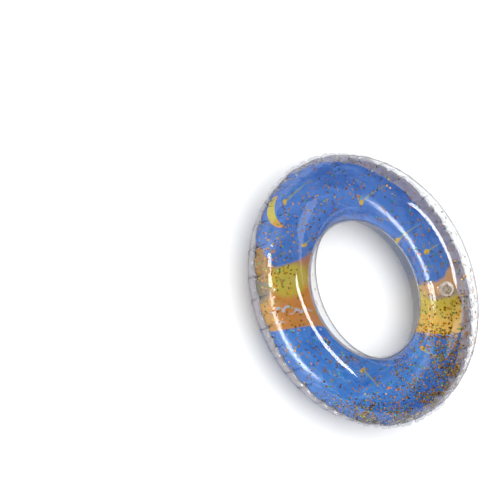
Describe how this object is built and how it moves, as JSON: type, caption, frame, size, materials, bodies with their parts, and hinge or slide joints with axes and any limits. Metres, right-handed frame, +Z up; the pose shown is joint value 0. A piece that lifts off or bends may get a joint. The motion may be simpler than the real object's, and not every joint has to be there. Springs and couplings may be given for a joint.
{
  "type": "inflatable swim ring",
  "caption": "Inflatable swim ring: clear top sheet and printed bottom sheet welded into a round air tube, glitter inside, push-in valve with plug.",
  "frame": {"origin": "on the ring's own axis, at the height of the flat surface that it lies on with its printed sheet down", "axes": "+Z up through the hole, out of the clear side; +X towards the valve, which is the right-hand side of the print; +Y towards the top of the print"},
  "size_m": [0.48, 0.48, 0.115],
  "materials": {
    "clear_film": "clear, glossy, soft vinyl",
    "printed_film": "grey soft vinyl, with a night-sky and sunset print on its inner face",
    "welded_film": "clear and grey vinyl fused together, with a pressed rib",
    "valve_plastic": "clear, glossy, soft vinyl moulding",
    "flap_film": "clear, soft vinyl film",
    "glitter_gold": "metallised flake, gold",
    "glitter_copper": "metallised flake, copper",
    "glitter_bronze": "metallised flake, dark bronze",
    "glitter_green": "metallised flake, green"
  },
  "bodies": {
    "ring": {"top_sheet": "clear_film", "bottom_sheet": "printed_film", "outer_weld": "welded_film", "inner_weld": "welded_film", "valve_flange": "valve_plastic", "valve_web": "valve_plastic", "glitter_gold_1": "glitter_gold", "glitter_gold_2": "glitter_gold", "glitter_gold_3": "glitter_gold", "glitter_gold_4": "glitter_gold", "glitter_copper_1": "glitter_copper", "glitter_copper_2": "glitter_copper", "glitter_copper_3": "glitter_copper", "glitter_copper_4": "glitter_copper", "glitter_bronze_1": "glitter_bronze", "glitter_bronze_2": "glitter_bronze", "glitter_bronze_3": "glitter_bronze", "glitter_bronze_4": "glitter_bronze", "glitter_green_1": "glitter_green", "glitter_green_2": "glitter_green", "glitter_green_3": "glitter_green", "glitter_green_4": "glitter_green"},
    "stem": {"valve_stem": "valve_plastic", "strap_ring": "valve_plastic"},
    "plug": {"valve_plug": "valve_plastic", "plug_strap": "valve_plastic"},
    "flap": {"check_flap": "flap_film"}
  },
  "joints": [
    {"name": "valve_push", "type": "slide", "parent": "ring", "child": "stem", "axis": [-0.7733, 0, 0.634], "range_m": [0, 0.012], "deforming": ["valve_web"]},
    {"name": "plug_flip", "type": "hinge", "parent": "stem", "child": "plug", "pos_m": [0.23282, -0.009, 0.01108], "axis": [-0.634, 0, -0.7733], "range_deg": [0, 150]},
    {"name": "flap_swing", "type": "hinge", "parent": "stem", "child": "flap", "pos_m": [0.21817, -0.0066, 0.02309], "axis": [0.634, 0, 0.7733], "range_deg": [0, 60], "stiffness_Nm_per_rad": 0.0001}
  ]
}
